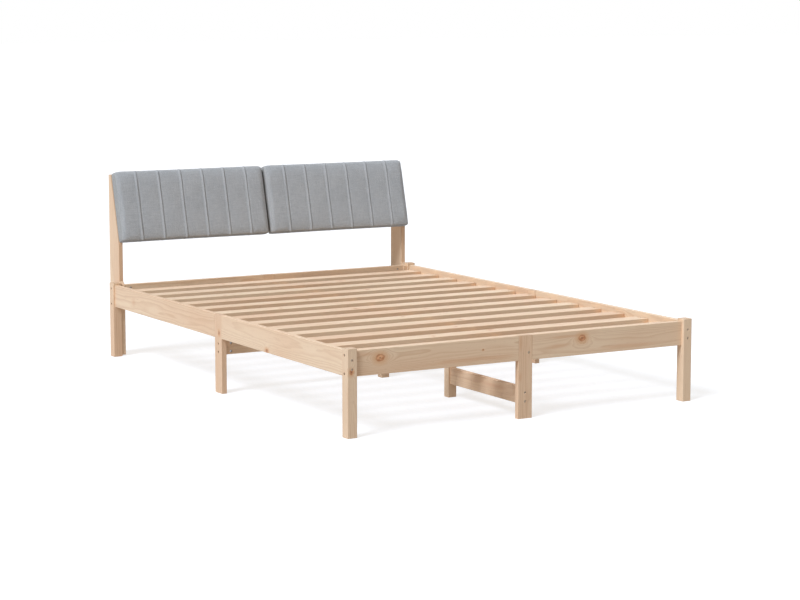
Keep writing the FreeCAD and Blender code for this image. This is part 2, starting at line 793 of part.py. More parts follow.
save("leg_foot_left", leg_foot_left)
save("leg_foot_right", mirrored(leg_foot_left))
save("leg_head_left", leg_head_left)
save("leg_head_right", mirrored(leg_head_left))
save("foot_centre_leg", foot_centre_leg)
save("head_centre_leg", head_centre_leg)
save("side_leg_left", side_leg_left)
save("side_leg_right", mirrored(side_leg_left))
save("centre_leg_foot", centre_leg_foot)
save("centre_leg_middle", centre_leg_middle)
save("centre_leg_head", centre_leg_head)
save("side_rail_foot_left", side_rail_foot_left)
save("side_rail_foot_right", mirrored(side_rail_foot_left))
save("side_rail_head_left", side_rail_head_left)
save("side_rail_head_right", mirrored(side_rail_head_left))
save("foot_rail_left", foot_rail_left)
save("foot_rail_right", foot_rail_right)
save("head_rail_left", head_rail_left)
save("head_rail_right", head_rail_right)
save("centre_beam_foot", centre_beam_foot)
save("centre_beam_head", centre_beam_head)
save("foot_stretcher", foot_stretcher)
save("head_stretcher", head_stretcher)
save("cross_board_left", cross_board_left)
save("cross_board_right", cross_board_right)
save("foot_cleat", foot_cleat)
save("head_cleat", head_cleat)
save("side_cleat_left", side_cleat)
save("side_cleat_right", mirrored(side_cleat))
save("ledger_foot_left", foot_ledger)
save("ledger_foot_right", mirrored(foot_ledger))
save("ledger_head_left", head_ledger)
save("ledger_head_right", mirrored(head_ledger))
for index, slat in enumerate(slats):
    save("slat_%02d" % (index + 1), slat)
save("headboard_post_left", headboard_post_left)
save("headboard_post_right", mirrored(headboard_post_left))
save("headboard_rail_lower", headboard_rails[0])
save("headboard_rail_upper", headboard_rails[1])
save("cushion_left", cushion_left)
save("cushion_right", cushion_right)
save("cushion_board_left", cushion_board_left)
save("cushion_board_right", cushion_board_right)
save("beam_plate", beam_plate)
save_group("angle_brackets", brackets)
save_group("bolts", with_mirror_images(bolts))
save_group("barrel_nuts", with_mirror_images(nuts))
save_group("dowels", with_mirror_images(dowels) + rail_dowels)
save_group("wood_screws", cleat_screws + with_mirror_images(ledger_screws) + slat_screws
           + small_screws + cushion_screws)
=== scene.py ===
import math

import bmesh
import bpy
from mathutils import Matrix, Vector, noise
from mathutils.bvhtree import BVHTree


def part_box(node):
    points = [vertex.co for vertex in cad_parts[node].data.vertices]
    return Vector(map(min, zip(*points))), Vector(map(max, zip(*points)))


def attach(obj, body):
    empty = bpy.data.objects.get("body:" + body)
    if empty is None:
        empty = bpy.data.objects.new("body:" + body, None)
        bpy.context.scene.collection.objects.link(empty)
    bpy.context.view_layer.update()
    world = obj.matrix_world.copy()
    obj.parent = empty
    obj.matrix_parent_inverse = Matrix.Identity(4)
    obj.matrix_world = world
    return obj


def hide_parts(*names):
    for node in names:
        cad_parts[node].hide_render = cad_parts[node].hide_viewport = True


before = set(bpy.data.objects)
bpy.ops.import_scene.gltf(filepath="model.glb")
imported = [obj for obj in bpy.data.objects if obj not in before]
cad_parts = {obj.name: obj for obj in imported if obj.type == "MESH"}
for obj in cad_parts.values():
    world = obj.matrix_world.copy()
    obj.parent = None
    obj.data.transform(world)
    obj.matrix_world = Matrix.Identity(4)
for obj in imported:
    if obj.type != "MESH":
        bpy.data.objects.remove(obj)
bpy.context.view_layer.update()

# Camera, floor and light
# A long lens from the left of the foot end, a little above the headboard. The floor is a pale
# studio floor, and a soft lamp stands high on the left.

def placed(name, data):
    """A new object, linked to the scene."""
    made = bpy.data.objects.new(name, data)
    bpy.context.scene.collection.objects.link(made)
    return made


view = placed("view", bpy.data.cameras.new("view"))
view.location = (-4.3346, -7.6503, 1.4953)
view.rotation_euler = (math.radians(90 - 7.723), 0, math.radians(-30.094))
view.data.lens = 100.698
view.data.clip_end = 200
bpy.context.scene.camera = view
bpy.context.scene.view_settings.view_transform = "Standard"


def laid(tree, kind, inputs, **settings):
    """One shader node with its settings and what its sockets hold, given back as its outputs."""
    made = tree.nodes.new("ShaderNode" + kind)
    for name, value in settings.items():
        setattr(made, name, value)
    for key, value in inputs.items():
        if isinstance(value, bpy.types.NodeSocket):
            tree.links.new(value, made.inputs[key])
        else:
            made.inputs[key].default_value = value
    return made.outputs


def sums(tree, operation, *values):
    """A value worked out from others."""
    return laid(tree, "Math", dict(enumerate(values)), operation=operation)[0]


def empty_material(name):
    """A new material, given back with its node tree, in which nothing stands yet."""
    made = bpy.data.materials.new(name)
    made.use_nodes = True
    made.node_tree.nodes.clear()
    return made, made.node_tree


def seen_directly(tree):
    """1 where the camera sees a surface itself, in a reflection or through glass."""
    path = laid(tree, "LightPath", {})
    seen = sums(tree, "MAXIMUM", path["Is Camera Ray"], path["Is Glossy Ray"])
    return sums(tree, "MAXIMUM", seen, path["Is Transmission Ray"])


room = bpy.data.worlds.new("room")
bpy.context.scene.world = room
room.use_nodes = True
sky = room.node_tree
sky.nodes.clear()
sky_light = laid(sky, "Background", {"Color": (1.0, 0.95, 0.88, 1), "Strength": 0.31})[0]
sky_shown = laid(sky, "Background", {"Color": (1, 1, 1, 1), "Strength": 1.0})[0]
sky_both = laid(sky, "MixShader", {0: seen_directly(sky), 1: sky_light, 2: sky_shown})[0]
laid(sky, "OutputWorld", {"Surface": sky_both})

floor_mesh = bpy.data.meshes.new("studio_floor")
reach = 60.0
below = -0.0003
floor_mesh.from_pydata([(-reach, -reach, below), (reach, -reach, below),
                        (reach, reach, below), (-reach, reach, below)], [], [(0, 1, 2, 3)])
studio_floor = placed("studio_floor", floor_mesh)

floor_paint, paint = empty_material("floor_paint")
floor_bounce = laid(paint, "BsdfDiffuse", {"Color": (0.590, 0.580, 0.565, 1)})[0]
floor_matt = laid(paint, "BsdfDiffuse", {"Color": (0.40, 0.40, 0.40, 1)})[0]
floor_glow = laid(paint, "Emission", {"Color": (1, 1, 1, 1), "Strength": 0.70})[0]
floor_shown = laid(paint, "AddShader", {0: floor_matt, 1: floor_glow})[0]
floor_both = laid(paint, "MixShader", {0: seen_directly(paint), 1: floor_bounce, 2: floor_shown})[0]
laid(paint, "OutputMaterial", {"Surface": floor_both})
floor_mesh.materials.append(floor_paint)

for name, towards, strength, width, tint in (
        ("high_lamp", (-0.62, -0.22, 0.75), 2.95, 24, (0.89, 1.0, 1.20)),
        ("back_lamp", (0.62, 0.55, 0.56), 0.60, 40, (1.0, 1.0, 1.0))):
    lamp = bpy.data.lights.new(name, "SUN")
    lamp.energy = strength
    lamp.color = tint
    lamp.angle = math.radians(width)
    stand = placed(name, lamp)
    stand.rotation_euler = Vector(towards).to_track_quat("Z", "Y").to_euler()


# Corner legs
# Square legs of light, unfinished pine, planed and with eased edges. The rails are bolted into
# them. The grain of every board is worked out in the wood itself, as rings around the tree's
# heart, so the end of a board shows the arcs of the lines on its face.

X, Y, Z = Vector((1, 0, 0)), Vector((0, 1, 0)), Vector((0, 0, 1))
SAPWOOD = (0.838, 0.624, 0.409, 1)
HEARTWOOD = (0.765, 0.505, 0.310, 1)
LATEWOOD = (0.615, 0.364, 0.194, 1)
KNOT_PALE = (0.740, 0.385, 0.180, 1)
KNOT_RED = (0.475, 0.178, 0.062, 1)
KNOT_DARK = (0.230, 0.078, 0.028, 1)
STAIN = (0.660, 0.325, 0.130, 1)
STREAK = (0.640, 0.330, 0.160, 1)
RESIN = (0.420, 0.225, 0.115, 1)
SAWN_END = (0.66, 0.56, 0.47, 1)
RING_WIDTH = 0.0034
RING_WANDER = 0.030
RING_SHUDDER = 0.0022
KNOT_STRETCH = 1 / 0.74
LARGE_KNOT = 0.009


def tinted(tree, share, low, high, blend="MIX"):
    """The low colour with a share of the high one over it."""
    return laid(tree, "Mix", {0: share, 6: low, 7: high}, data_type="RGBA", blend_type=blend)[2]


def ramp(tree, value, start, end, low=0.0, high=1.0):
    """A soft step, from low at start to high at end."""
    between = {"Value": value, "From Min": start, "From Max": end, "To Min": low, "To Max": high}
    return laid(tree, "MapRange", between, interpolation_type="SMOOTHSTEP")[0]


def speckle(tree, place, scale, detail=2.0, rough=0.5):
    """Soft noise between 0 and 1."""
    return laid(tree, "TexNoise", {"Vector": place, "Scale": scale, "Detail": detail,
                                   "Roughness": rough})[0]


def surfaced(tree, colour, dull, relief, strength, deep, sockets):
    """The last nodes of a material: its shader, and the relief that it shows."""
    bump = laid(tree, "Bump", {"Height": relief, "Strength": strength, "Distance": deep})[0]
    shader = laid(tree, "BsdfPrincipled", {"Base Color": colour, "Roughness": dull,
                                           "Normal": bump, **sockets})[0]
    laid(tree, "OutputMaterial", {"Surface": shader})


def finished(node, material):
    """Gives a node of the CAD model its material."""
    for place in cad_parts[node].material_slots:
        place.material = material


def pine(node, along, wide, heart, tone=0.0, knots=(), streaks=()):
    """Pine for one board. heart is how far the tree's heart is from the board's middle, across
    the wide face and through the board, and tone is how far the colour leans to heartwood. A
    knot has its place across and along, and its radius. A reddish streak has its place across
    and along, and half its width and length."""
    low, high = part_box(node)
    middle = (Vector(low) + Vector(high)) / 2
    wood, tree = empty_material("pine_" + node)
    number = len(bpy.data.materials)

    from_middle = laid(tree, "VectorMath", {0: laid(tree, "TexCoord", {})["Object"], 1: middle},
                       operation="SUBTRACT")[0]

    def measured(axis):
        """How far a point of the wood is from the board's middle, along an axis."""
        return laid(tree, "VectorMath", {0: from_middle, 1: axis}, operation="DOT_PRODUCT")["Value"]

    w, t, a = measured(wide), measured(along.cross(wide)), measured(along)

    def stretched(run):
        """A place in the wood in which the length of the board is drawn together."""
        place = laid(tree, "CombineXYZ", {0: w, 1: t, 2: sums(tree, "MULTIPLY", a, run)})[0]
        away = (number * 0.371, number * 0.733, number * 0.517)
        return laid(tree, "VectorMath", {0: place, 1: away}, operation="ADD")[0]

    def far_from(across, place, half_wide, half_long):
        """How far a point of the wood is from a place on the wide face, in units of two lengths."""
        aside = sums(tree, "DIVIDE", sums(tree, "SUBTRACT", w, across), half_wide)
        beyond = sums(tree, "DIVIDE", sums(tree, "SUBTRACT", a, place), half_long)
        flat = laid(tree, "CombineXYZ", {0: aside, 1: beyond})[0]
        return laid(tree, "VectorMath", {0: flat}, operation="LENGTH")["Value"]

    # Rings, which wander along the board and bend round its knots
    heartwards = laid(tree, "CombineXYZ", {0: sums(tree, "SUBTRACT", w, heart[0]),
                                           1: sums(tree, "SUBTRACT", t, heart[1])})[0]
    radius = laid(tree, "VectorMath", {0: heartwards}, operation="LENGTH")["Value"]
    wander = speckle(tree, stretched(0.14), 9.0, 3.0)
    radius = sums(tree, "MULTIPLY_ADD", wander, RING_WANDER, radius)
    shudder = speckle(tree, stretched(0.05), 60.0, 2.0)
    radius = sums(tree, "MULTIPLY_ADD", shudder, RING_SHUDDER, radius)
    knot_distances = []
    for across, place, size in knots:
        distance = far_from(across, place, 1.0, KNOT_STRETCH)
        uneven = speckle(tree, stretched(0.7), 130.0, 1.0)
        distance = sums(tree, "MULTIPLY_ADD", uneven, size * 0.5, distance)
        distance = sums(tree, "SUBTRACT", distance, size * 0.25)
        knot_distances.append((distance, size))
        spread = sums(tree, "POWER", sums(tree, "DIVIDE", distance, size * 2.3), 2.0)
        swell = sums(tree, "EXPONENT", sums(tree, "MULTIPLY", spread, -1.0))
        radius = sums(tree, "MULTIPLY_ADD", swell, -size * 1.5, radius)
    count = sums(tree, "DIVIDE", radius, RING_WIDTH)
    ring_number = sums(tree, "FLOOR", count)
    in_ring = sums(tree, "FRACT", count)
    strength = laid(tree, "TexWhiteNoise", {"W": ring_number}, noise_dimensions="1D")[0]
    late = sums(tree, "MULTIPLY", ramp(tree, in_ring, 0.25, 0.88), ramp(tree, in_ring, 1.0, 0.90))
    late = sums(tree, "MULTIPLY", late, sums(tree, "MULTIPLY_ADD", strength, 0.65, 0.35))

    # Fibres, resin canals and the slow change of colour across the board
    fibre = speckle(tree, stretched(0.025), 820.0, 3.0, 0.6)
    canal = ramp(tree, speckle(tree, stretched(0.09), 520.0, 1.0), 0.70, 0.76)
    cloud = speckle(tree, stretched(0.30), 7.0, 2.0)
    heartwood = ramp(tree, sums(tree, "ADD", cloud, tone * 0.25), 0.30, 0.80)
    colour = tinted(tree, heartwood, SAPWOOD, HEARTWOOD)
    colour = tinted(tree, sums(tree, "MULTIPLY", late, 0.62), colour, LATEWOOD)
    colour = tinted(tree, ramp(tree, fibre, 0.45, 0.80, 0.0, 0.30), colour, LATEWOOD)
    colour = tinted(tree, sums(tree, "MULTIPLY", canal, 0.40), colour, RESIN)

    # Reddish streaks that fade out along the grain
    for across, place, half_wide, half_long in streaks:
        distance = far_from(across, place, half_wide, half_long)
        ragged = speckle(tree, stretched(0.15), 90.0, 2.0)
        distance = sums(tree, "MULTIPLY_ADD", ragged, 0.9, distance)
        colour = tinted(tree, ramp(tree, distance, 1.45, 0.55, 0.0, 0.42), colour, STREAK)

    # Knots, pale red with fine rings inside a darker rim, and a warm stain in the wood around.
    # Small ones are darker all over and have the larger eye
    inside = 0.0
    for distance, size in knot_distances:
        stain = ramp(tree, distance, size * 2.9, size * 0.9, 0.0, 0.60)
        colour = tinted(tree, stain, colour, STAIN)
        body = ramp(tree, distance, size * 1.20, size * 0.88)
        wave = sums(tree, "SINE", sums(tree, "MULTIPLY", distance, 4200.0))
        blotch = speckle(tree, stretched(0.8), 0.9 / size, 1.0)
        blotch = sums(tree, "MULTIPLY_ADD", wave, 0.05, blotch)
        pale = ramp(tree, blotch, 0.38, 0.60, 0.0, min(1.0, size / 0.0115))
        body_colour = tinted(tree, pale, KNOT_RED, KNOT_PALE)
        rim = sums(tree, "MULTIPLY", ramp(tree, distance, size * 0.55, size * 0.95), 0.75)
        body_colour = tinted(tree, rim, body_colour, KNOT_RED)
        eye = size * (0.30 if size > LARGE_KNOT else 0.70)
        eye_share = ramp(tree, distance, eye, eye * 0.2, 0.0, 0.8)
        body_colour = tinted(tree, eye_share, body_colour, KNOT_DARK)
        colour = tinted(tree, body, colour, body_colour)
        inside = sums(tree, "MAXIMUM", inside, body)

    # The sawn end drinks in more and looks darker
    normal = laid(tree, "NewGeometry", {})["Normal"]
    end_on = laid(tree, "VectorMath", {0: normal, 1: along}, operation="DOT_PRODUCT")["Value"]
    end_grain = ramp(tree, sums(tree, "ABSOLUTE", end_on), 0.70, 0.95)
    colour = tinted(tree, sums(tree, "MULTIPLY", end_grain, 0.55), colour, SAWN_END, "MULTIPLY")

    dull = sums(tree, "MULTIPLY_ADD", fibre, 0.22, 0.50)
    dull = sums(tree, "MULTIPLY_ADD", inside, -0.16, dull)
    relief = sums(tree, "MULTIPLY_ADD", fibre, 0.6, sums(tree, "MULTIPLY", late, 0.4))
    surfaced(tree, colour, dull, relief, 0.35, 0.0005,
             {"Specular IOR Level": 0.50, "Sheen Weight": 0.18, "Sheen Roughness": 0.4})
    finished(node, wood)


pine("leg_foot_left", Z, X, (0.034, 0.052), 0.2, knots=[(-0.0042, 0.074, 0.0062)])
pine("leg_foot_right", Z, X, (-0.048, 0.040), 0.1)
pine("leg_head_left", Z, X, (0.020, -0.060), 0.3)
pine("leg_head_right", Z, X, (0.052, 0.026), 0.0)


# Board legs
# Boards let in between the two halves of each rail, as thick as the rails and flush with them,
# so that they read as one face. They carry the middle of every side.

pine("foot_centre_leg", Z, X, (0.012, 0.072), 0.5,
     streaks=[(-0.0210, 0.001, 0.012, 0.030), (-0.0200, 0.125, 0.010, 0.040)])
pine("head_centre_leg", Z, X, (-0.016, -0.055), 0.0)
pine("side_leg_left", Z, Y, (0.022, 0.050), 0.4, knots=[(-0.0080, 0.0808, 0.0058)])
pine("side_leg_right", Z, Y, (-0.020, 0.061), 0.1)


# Rails
# Planed boards on edge, two to a side. The foot rail shows two large red knots, a pin knot and
# a few reddish streaks.

pine("foot_rail_left", X, Z, (0.018, 0.085), 0.1,
     knots=[(0.0125, -0.2340, 0.0122), (0.0066, 0.1824, 0.0023)],
     streaks=[(-0.024, 0.130, 0.014, 0.240), (0.028, -0.290, 0.010, 0.060)])
pine("foot_rail_right", X, Z, (-0.012, 0.070), 0.2, knots=[(0.0165, -0.1166, 0.0112)],
     streaks=[(0.027, -0.190, 0.009, 0.110), (-0.004, -0.230, 0.012, 0.070),
              (-0.026, 0.060, 0.012, 0.200)])
pine("head_rail_left", X, Z, (0.020, -0.080), 0.0, knots=[(-0.012, 0.110, 0.0080)])
pine("head_rail_right", X, Z, (-0.022, 0.064), 0.2)
pine("side_rail_foot_left", Y, Z, (0.014, 0.066), 0.0, knots=[(-0.0377, 0.102, 0.0074)])
pine("side_rail_head_left", Y, Z, (-0.010, 0.078), 0.1, streaks=[(-0.0033, 0.2884, 0.024, 0.028)])
pine("side_rail_foot_right", Y, Z, (0.024, -0.070), 0.1, knots=[(0.012, -0.120, 0.0084)])
pine("side_rail_head_right", Y, Z, (-0.018, 0.060), 0.3, knots=[(-0.014, 0.160, 0.0060)])


# Cleats and ledgers
# Strips screwed to the inner faces of the rails. The cleats tie the two halves of a rail to its
# board leg, and the ledgers carry the slats.

pine("foot_cleat", X, Z, (0.010, 0.048), 0.2)
pine("head_cleat", X, Z, (-0.014, 0.052), 0.0)
for turn, side in enumerate(("left", "right")):
    pine("side_cleat_" + side, Y, Z, (0.012 - turn * 0.03, 0.055), 0.1)
    pine("ledger_foot_" + side, Y, Z, (0.020, 0.030 - turn * 0.07), 0.2)
    pine("ledger_head_" + side, Y, Z, (-0.024, 0.034), 0.0,
         knots=[(0.004, 0.14 - turn * 0.3, 0.0042)])


# Centre legs, beam, stretchers and cross boards
# The beam runs down the middle in two halves. Three legs stand under it, and low boards on edge
# tie them to the board legs at the sides and the ends.

pine("centre_beam_foot", Y, Z, (0.020, 0.050), 0.1, knots=[(-0.008, -0.210, 0.0056)])
pine("centre_beam_head", Y, Z, (-0.016, -0.058), 0.2, knots=[(0.010, 0.120, 0.0060)])
pine("centre_leg_foot", Z, X, (0.040, 0.030), 0.3)
pine("centre_leg_middle", Z, X, (-0.032, 0.044), 0.2)
pine("centre_leg_head", Z, X, (0.036, -0.042), 0.0)
pine("foot_stretcher", Y, Z, (0.016, 0.062), 0.2, streaks=[(0.010, -0.060, 0.010, 0.120)])
pine("head_stretcher", Y, Z, (-0.014, 0.056), 0.1, knots=[(0.006, 0.090, 0.0058)])
pine("cross_board_left", X, Z, (0.018, 0.066), 0.2, knots=[(-0.008, 0.150, 0.0060)])
pine("cross_board_right", X, Z, (-0.020, -0.060), 0.1)


# Slats
# Thirteen thin boards across the frame, each screwed down to the ledgers at both ends.

for number in range(13):
    offset = math.sin(number * 2.4)
    heart = (0.022 * offset, 0.052 + 0.02 * math.cos(number * 1.9))
    tone = 0.15 + 0.35 * math.sin(number * 4.3)
    knots = [(0.016 * math.sin(number * 1.7), 0.52 * math.sin(number * 3.1),
              0.0052 + 0.002 * offset)]
    if number % 3 == 1:
        knots.append((-0.012, 0.40 * math.cos(number * 2.2), 0.0040))
    pine("slat_%02d" % (number + 1), X, Y, heart, tone, knots=knots)


# Headboard posts and rails
# Two boards sawn to a stepped and tapered outline stand behind and inside the head legs. Two
# rails between them follow the lean and carry the cushions.

LEAN = math.radians(14.5)
LEAN_START = 0.470
POST_SETBACK = 0.023
lean_up = Vector((0, math.sin(LEAN), math.cos(LEAN)))
pine("headboard_post_left", Z, Y, (0.026, 0.070), 0.0, knots=[(0.022, -0.260, 0.0080)])
pine("headboard_post_right", Z, Y, (-0.030, -0.066), 0.1, knots=[(0.020, -0.120, 0.0064)])
pine("headboard_rail_lower", X, lean_up, (0.014, 0.060), 0.2, knots=[(0.010, 0.310, 0.0072)])
pine("headboard_rail_upper", X, lean_up, (-0.018, 0.068), 0.0, knots=[(-0.012, -0.240, 0.0064)])


# Backing boards
# Thin plywood inside each cushion, screwed on from behind through the headboard rails. Its face
# is a calm veneer, and the plies show along its edges.

VENEER = (0.72, 0.54, 0.36, 1)
VENEER_FIGURE = (0.63, 0.44, 0.275, 1)
VENEER_PORE = (0.42, 0.26, 0.15, 1)
CROSS_PLY = (0.36, 0.215, 0.125, 1)
TWO_PLIES = 0.0026

plywood, tree = empty_material("plywood")
leaning = laid(tree, "Mapping", {"Vector": laid(tree, "TexCoord", {})["Object"],
                                 "Rotation": (LEAN, 0, 0)})[0]
split = laid(tree, "SeparateXYZ", {"Vector": leaning})
drawn_together = sums(tree, "MULTIPLY", split[0], 0.05)
veneer_place = laid(tree, "CombineXYZ", {0: drawn_together, 1: split[1], 2: split[2]})[0]
figure = speckle(tree, veneer_place, 34.0, 3.0)
pores = speckle(tree, veneer_place, 900.0, 2.0)
ply = sums(tree, "FRACT", sums(tree, "MULTIPLY", split[1], 1 / TWO_PLIES))
ply = ramp(tree, ply, 0.45, 0.55)
face_on = laid(tree, "VectorMath", {0: laid(tree, "NewGeometry", {})["Normal"],
                                    1: lean_up.cross(X)}, operation="DOT_PRODUCT")["Value"]
edge_on = ramp(tree, sums(tree, "ABSOLUTE", face_on), 0.8, 0.5)
colour = tinted(tree, ramp(tree, figure, 0.3, 0.7), VENEER, VENEER_FIGURE)
colour = tinted(tree, ramp(tree, pores, 0.55, 0.8, 0.0, 0.35), colour, VENEER_PORE)
colour = tinted(tree, sums(tree, "MULTIPLY", edge_on, ply), colour, CROSS_PLY)
surfaced(tree, colour, ramp(tree, pores, 0.2, 0.8, 0.5, 0.7), pores, 0.3, 0.0004,
         {"Specular IOR Level": 0.3})
finished("cushion_board_left", plywood)
finished("cushion_board_right", plywood)


# Cushions
# Two padded cushions, side by side, lean on the posts. Grey woven cover over foam, sewn in seven
# upright channels by six raised tucks, of which the last channel is narrower. The tucks run over
# the top and bottom edges, and the cover is turned in behind, round the backing board.

HALF_WIDTH = 0.3437
HALF_HEIGHT = 0.1490
DEPTH = 0.0450
CUSHION_MIDDLE_ALONG = 0.153
CUSHION_MIDDLE_ASIDE = 0.344
BEHIND = -0.0004
CHANNEL = 0.1014
TUCKS = 6
VOXEL = CHANNEL / 20
FIRST_TUCK = VOXEL * -49
THREAD_PITCH = 0.0013
THREAD_RUN = 0.04
DARK_YARN = (0.415, 0.415, 0.400, 1)
PALE_YARN = (0.608, 0.608, 0.585, 1)
SHADE_BETWEEN_THREADS = (0.17, 0.18, 0.19, 1)
SLUB_YARN = (0.56, 0.58, 0.59, 1)
HANDLED = (0.25, 0.26, 0.27, 1)

fabric, tree = empty_material("grey_weave")
place = laid(tree, "TexCoord", {})["Object"]
split = laid(tree, "SeparateXYZ", {"Vector": place})
facing = laid(tree, "SeparateXYZ", {"Vector": laid(tree, "TexCoord", {})["Normal"]})


def weave(first, second):
    """Plain weave of two threads over and under each other: its height, and which one is on top."""
    one = sums(tree, "SINE", sums(tree, "MULTIPLY", first, math.pi / THREAD_PITCH))
    two = sums(tree, "SINE", sums(tree, "MULTIPLY", second, math.pi / THREAD_PITCH))
    over = sums(tree, "GREATER_THAN", sums(tree, "MULTIPLY", one, two), 0.0)
    height = laid(tree, "Mix", {0: over, 2: sums(tree, "ABSOLUTE", two),
                                3: sums(tree, "ABSOLUTE", one)})[0]
    return height, over


front_height, front_over = weave(split[0], split[2])
top_height, top_over = weave(split[0], split[1])
end_height, end_over = weave(split[1], split[2])
upward = ramp(tree, sums(tree, "ABSOLUTE", facing[2]), 0.66, 0.76)
sideways = ramp(tree, sums(tree, "ABSOLUTE", facing[0]), 0.66, 0.76)


def by_facing(front, top, end):
    """Of three values, the one for the side that the cover faces."""
    both = laid(tree, "Mix", {0: upward, 2: front, 3: top})[0]
    return laid(tree, "Mix", {0: sideways, 2: both, 3: end})[0]


height = by_facing(front_height, top_height, end_height)
over = by_facing(front_over, top_over, end_over)
warp_run = sums(tree, "MULTIPLY", split[2], THREAD_RUN)
weft_run = sums(tree, "MULTIPLY", split[0], THREAD_RUN)
warp_place = laid(tree, "CombineXYZ", {0: split[0], 1: split[1], 2: warp_run})[0]
weft_place = laid(tree, "CombineXYZ", {0: weft_run, 1: split[1], 2: split[2]})[0]
warp_shade = speckle(tree, warp_place, 620.0, 2.0, 0.7)
weft_shade = speckle(tree, weft_place, 620.0, 2.0, 0.7)
thread_shade = laid(tree, "Mix", {0: over, 2: weft_shade, 3: warp_shade})[0]
slub = ramp(tree, speckle(tree, weft_place, 210.0, 1.0), 0.60, 0.72)
cloud = speckle(tree, place, 9.0, 2.0)
colour = tinted(tree, ramp(tree, thread_shade, 0.30, 0.70), DARK_YARN, PALE_YARN)
# Painted shade in the low places of the weave, between the threads
colour = tinted(tree, ramp(tree, height, 0.55, 0.10, 0.0, 0.55), colour, SHADE_BETWEEN_THREADS)
colour = tinted(tree, sums(tree, "MULTIPLY", slub, 0.20), colour, SLUB_YARN)
colour = tinted(tree, ramp(tree, cloud, 0.35, 0.70, 0.0, 0.10), colour, HANDLED)

# Painted shade by the way the cover faces: the left end and the corner before it are toned down
# where the lamp lights them, the right end is darker and cooler as a side turned from the light,
# the top a little warmer against the cool lamp, and the underside darker as in shade. In order:
# the left end, the corner before it, the right end, the top, the underside
for axis, start, end, shade in (
        (0, -0.66, -0.76, (0.80, 0.78, 0.755, 1)),
        (0, -0.10, -0.60, (0.975, 0.96, 0.935, 1)),
        (0, 0.20, 0.90, (0.75, 0.79, 0.86, 1)),
        (2, 0.45, 0.80, (1.0, 0.97, 0.93, 1)),
        (2, -0.45, -0.80, (0.70, 0.74, 0.80, 1))):
    colour = tinted(tree, ramp(tree, facing[axis], start, end), colour, shade, "MULTIPLY")
relief = sums(tree, "MULTIPLY_ADD", thread_shade, 0.35, height)
surfaced(tree, colour, ramp(tree, height, 0.0, 1.0, 0.95, 0.80), relief, 0.45, 0.0006,
         {"Specular IOR Level": 0.15, "Sheen Weight": 0.12, "Sheen Roughness": 0.5})

thread, tree = empty_material("grey_thread")
twist_place = laid(tree, "SeparateXYZ", {"Vector": laid(tree, "TexCoord", {})["Object"]})
twist = sums(tree, "ADD", twist_place[0], twist_place[2])
twist = sums(tree, "SINE", sums(tree, "MULTIPLY", twist, 9000.0))
colour = tinted(tree, sums(tree, "MULTIPLY_ADD", twist, 0.3, 0.5),
                (0.36, 0.37, 0.38, 1), (0.52, 0.53, 0.54, 1))
surfaced(tree, colour, 0.7, twist, 0.4, 0.0001, {"Specular IOR Level": 0.3})


# Radii at the low and the high side of X, Y and Z, how much the ends and the edges pull in, and
# how far the front falls off towards them
ROUNDING = ((0.0065, 0.0110), (0.0085, 0.0035), (0.0075, 0.0140))
ENDS_PULL_IN = 0.0012
EDGES_PULL_IN = 0.0080
FALL_AT_TOP = 0.0062
FALL_AT_BOTTOM = 0.0042
FALL_AT_ENDS = 0.0024
NEAR_EDGE = 0.060
NEAR_END = 0.034

# The cover behind this depth doesn't swell. In front of it the swelling may move a point so far
# inward and outward, on X, Y and Z
STILL_FROM = -0.010
SWELL = ((0.0005, 0.0014), (0.0004, 0.0020), (0.0012, 0.0024))
QUICK_SWELL = 0.003
CLOTH_FRAMES = 20

# A tuck leans: its left flank is long and its right one is steep. The stitches pull the cover in
# beside it, and faint gathers run out from it
TUCKS_FROM = -0.008
TUCK_REACH = 0.0122
LEFT_FOOT, LEFT_FLANK = 0.0105, 0.0095
RIGHT_FOOT, RIGHT_FLANK = 0.0042, 0.0038
TUCK_HEIGHT = 0.0030
PULL_DEPTH = 0.0005
GATHER_HEIGHT = 0.00018

# The cover turned in behind, and how deep the backing board lies in it
BACK_FROM = -0.003
RIM_OUT, RIM_UP = 0.3232, 0.1292
RIM_ROUND = 0.0035
BOARD_SUNK = 0.0124

# Stitches: how far the rows stand from a tuck, and the arch of one stitch in shares of its length
STITCH_ROWS = (-0.0112, 0.0052)
STITCH_PITCH = 0.0052
STITCH_HALF = 0.0018
STITCHES_EACH_WAY = 26
STITCH_SHARES = (0.0, 0.12, 0.35, 0.65, 0.88, 1.0)
DIVE = 0.0005
ARCH = 0.0008
THREAD_RADIUS = 0.00042
THREAD_SIDES = 8


